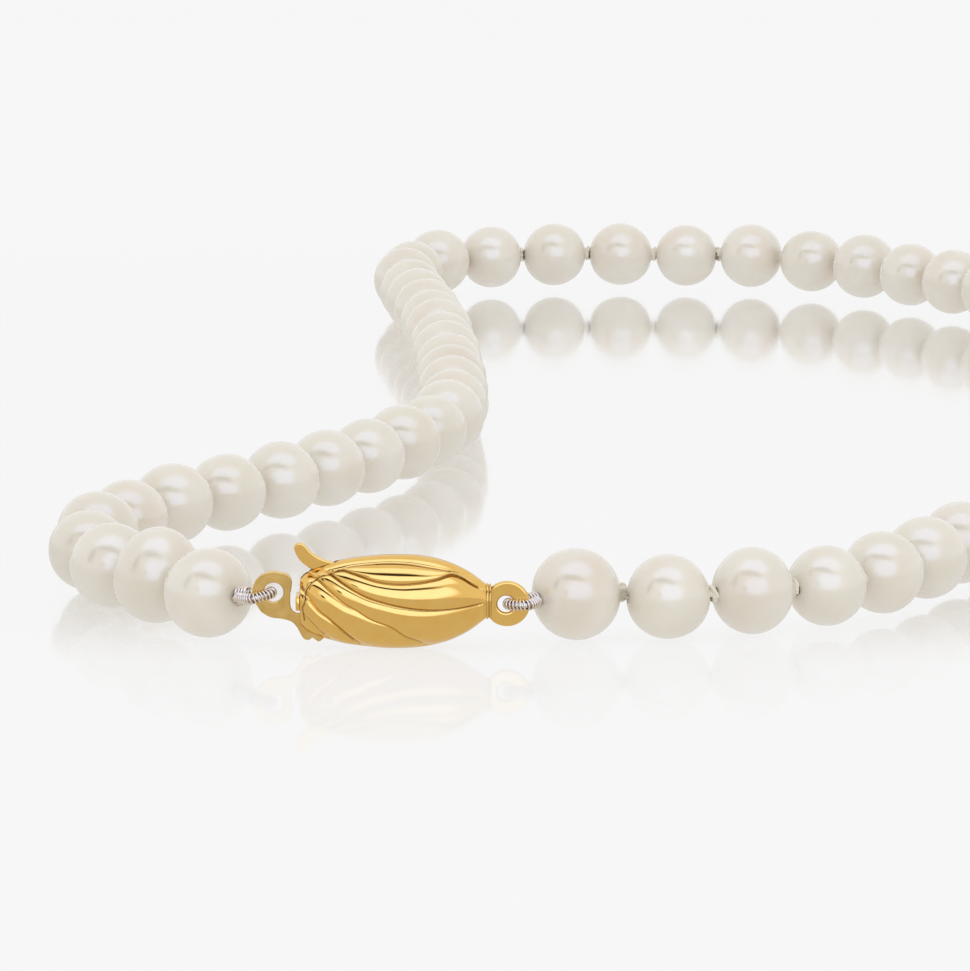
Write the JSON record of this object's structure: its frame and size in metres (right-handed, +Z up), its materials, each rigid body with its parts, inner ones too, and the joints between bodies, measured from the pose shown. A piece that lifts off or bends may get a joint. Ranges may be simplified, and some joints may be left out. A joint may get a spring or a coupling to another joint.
{
  "type": "pearl necklace",
  "caption": "Strand of knotted round pearls laid in a curved loop, closed by a swirl-fluted gold fish-hook clasp with a sliding tongue and a sprung thumb lever.",
  "frame": {"origin": "middle of the laid loop's box on the surface it lies on", "axes": "+Z up; +X along the clasp from its tongue to its ring; +Y across the loop away from the clasp"},
  "size_m": [0.112, 0.2246, 0.0093],
  "materials": {
    "pearl_nacre": "satin nacre lustre, off-white with faint rose and green overtones",
    "polished_gold": "polished yellow gold",
    "silk": "twisted silk cord, knotted",
    "french_wire": "bright fine coiled wire"
  },
  "bodies": {
    "housing": {"front_shell": "polished_gold", "back_shell": "polished_gold", "crossbar": "polished_gold", "end_ring": "polished_gold"},
    "tongue": {"tongue_plate": "polished_gold"},
    "thumb_lever": {"thumb_lever": "polished_gold"},
    "pearls_01_to_04": {"pearl_01": "pearl_nacre", "pearl_02": "pearl_nacre", "pearl_03": "pearl_nacre", "pearl_04": "pearl_nacre", "french_wire_tongue_side": "french_wire", "silk_thread_tongue_side": "silk"},
    "pearls_05_to_10": {"pearl_05": "pearl_nacre", "pearl_06": "pearl_nacre", "pearl_07": "pearl_nacre", "pearl_08": "pearl_nacre", "pearl_09": "pearl_nacre", "pearl_10": "pearl_nacre"},
    "pearls_11_to_17": {"pearl_11": "pearl_nacre", "pearl_12": "pearl_nacre", "pearl_13": "pearl_nacre", "pearl_14": "pearl_nacre", "pearl_15": "pearl_nacre", "pearl_16": "pearl_nacre", "pearl_17": "pearl_nacre"},
    "pearls_18_to_24": {"pearl_18": "pearl_nacre", "pearl_19": "pearl_nacre", "pearl_20": "pearl_nacre", "pearl_21": "pearl_nacre", "pearl_22": "pearl_nacre", "pearl_23": "pearl_nacre", "pearl_24": "pearl_nacre"},
    "pearls_25_to_31": {"pearl_25": "pearl_nacre", "pearl_26": "pearl_nacre", "pearl_27": "pearl_nacre", "pearl_28": "pearl_nacre", "pearl_29": "pearl_nacre", "pearl_30": "pearl_nacre", "pearl_31": "pearl_nacre"},
    "pearls_32_to_42": {"pearl_32": "pearl_nacre", "pearl_33": "pearl_nacre", "pearl_34": "pearl_nacre", "pearl_35": "pearl_nacre", "pearl_36": "pearl_nacre", "pearl_run_1": "pearl_nacre"},
    "pearls_61_to_64": {"pearl_61": "pearl_nacre", "pearl_62": "pearl_nacre", "pearl_63": "pearl_nacre", "pearl_64": "pearl_nacre", "french_wire_ring_side": "french_wire", "silk_thread_ring_side": "silk"},
    "pearls_57_to_60": {"pearl_57": "pearl_nacre", "pearl_58": "pearl_nacre", "pearl_59": "pearl_nacre", "pearl_60": "pearl_nacre"},
    "pearls_49_to_56": {"pearl_run_3": "pearl_nacre", "pearl_54": "pearl_nacre", "pearl_55": "pearl_nacre", "pearl_56": "pearl_nacre"},
    "pearls_43_to_48": {"pearl_run_2": "pearl_nacre"}
  },
  "joints": [
    {"name": "tongue_slide", "type": "slide", "parent": "housing", "child": "tongue", "axis": [-1, 0, 0], "range_m": [0, 0.0065]},
    {"name": "thumb_press", "type": "hinge", "parent": "tongue", "child": "thumb_lever", "pos_m": [-0.01963, -0.10913, 0.00367], "axis": [0, -1, 0], "range_deg": [0, 7], "stiffness_Nm_per_rad": 0.02},
    {"name": "strand_flex", "type": "hinge", "parent": "tongue", "child": "pearls_01_to_04", "pos_m": [-0.03584, -0.10913, 0.00468], "axis": [0, 0, 1], "range_deg": [-5, 5], "deforming": ["silk_thread_tongue_side", "silk_thread_ring_side"]},
    {"name": "knot_04", "type": "hinge", "parent": "pearls_01_to_04", "child": "pearls_05_to_10", "pos_m": [-0.05288, -0.07907, 0.0038], "axis": [0, 0, 1], "range_deg": [-12, 12]},
    {"name": "knot_10", "type": "hinge", "parent": "pearls_05_to_10", "child": "pearls_11_to_17", "pos_m": [-0.02956, -0.03713, 0.00375], "axis": [0, 0, 1], "range_deg": [-12, 12]},
    {"name": "knot_17", "type": "hinge", "parent": "pearls_11_to_17", "child": "pearls_18_to_24", "pos_m": [-0.01971, 0.01775, 0.00375], "axis": [0, 0, 1], "range_deg": [-12, 12]},
    {"name": "knot_24", "type": "hinge", "parent": "pearls_18_to_24", "child": "pearls_25_to_31", "pos_m": [-0.02421, 0.07434, 0.00375], "axis": [0, 0, 1], "range_deg": [-12, 12]},
    {"name": "knot_31", "type": "hinge", "parent": "pearls_25_to_31", "child": "pearls_32_to_42", "pos_m": [0.00488, 0.10859, 0.00375], "axis": [0, 0, 1], "range_deg": [-12, 12]},
    {"name": "ring_swivel", "type": "hinge", "parent": "housing", "child": "pearls_61_to_64", "pos_m": [-0.01275, -0.10913, 0.00397], "axis": [0, 0, 1], "range_deg": [-12, 12]},
    {"name": "knot_60", "type": "hinge", "parent": "pearls_61_to_64", "child": "pearls_57_to_60", "pos_m": [0.01762, -0.09687, 0.00361], "axis": [0, 0, 1], "range_deg": [-12, 12]},
    {"name": "knot_56", "type": "hinge", "parent": "pearls_57_to_60", "child": "pearls_49_to_56", "pos_m": [0.03445, -0.06939, 0.00379], "axis": [0, 0, 1], "range_deg": [-12, 12]},
    {"name": "knot_48", "type": "hinge", "parent": "pearls_49_to_56", "child": "pearls_43_to_48", "pos_m": [0.0509, -0.00725, 0.00378], "axis": [0, 0, 1], "range_deg": [-12, 12]}
  ],
  "couplings": [
    {"joint": "knot_04", "follows": "strand_flex", "ratio": 0.579},
    {"joint": "knot_10", "follows": "strand_flex", "ratio": -1.468},
    {"joint": "knot_17", "follows": "strand_flex", "ratio": -1.362},
    {"joint": "knot_24", "follows": "strand_flex", "ratio": -0.264},
    {"joint": "knot_31", "follows": "strand_flex", "ratio": 1.594},
    {"joint": "ring_swivel", "follows": "strand_flex", "ratio": -0.065},
    {"joint": "knot_60", "follows": "strand_flex", "ratio": -0.383},
    {"joint": "knot_56", "follows": "strand_flex", "ratio": 0.186},
    {"joint": "knot_48", "follows": "strand_flex", "ratio": 0.343}
  ]
}
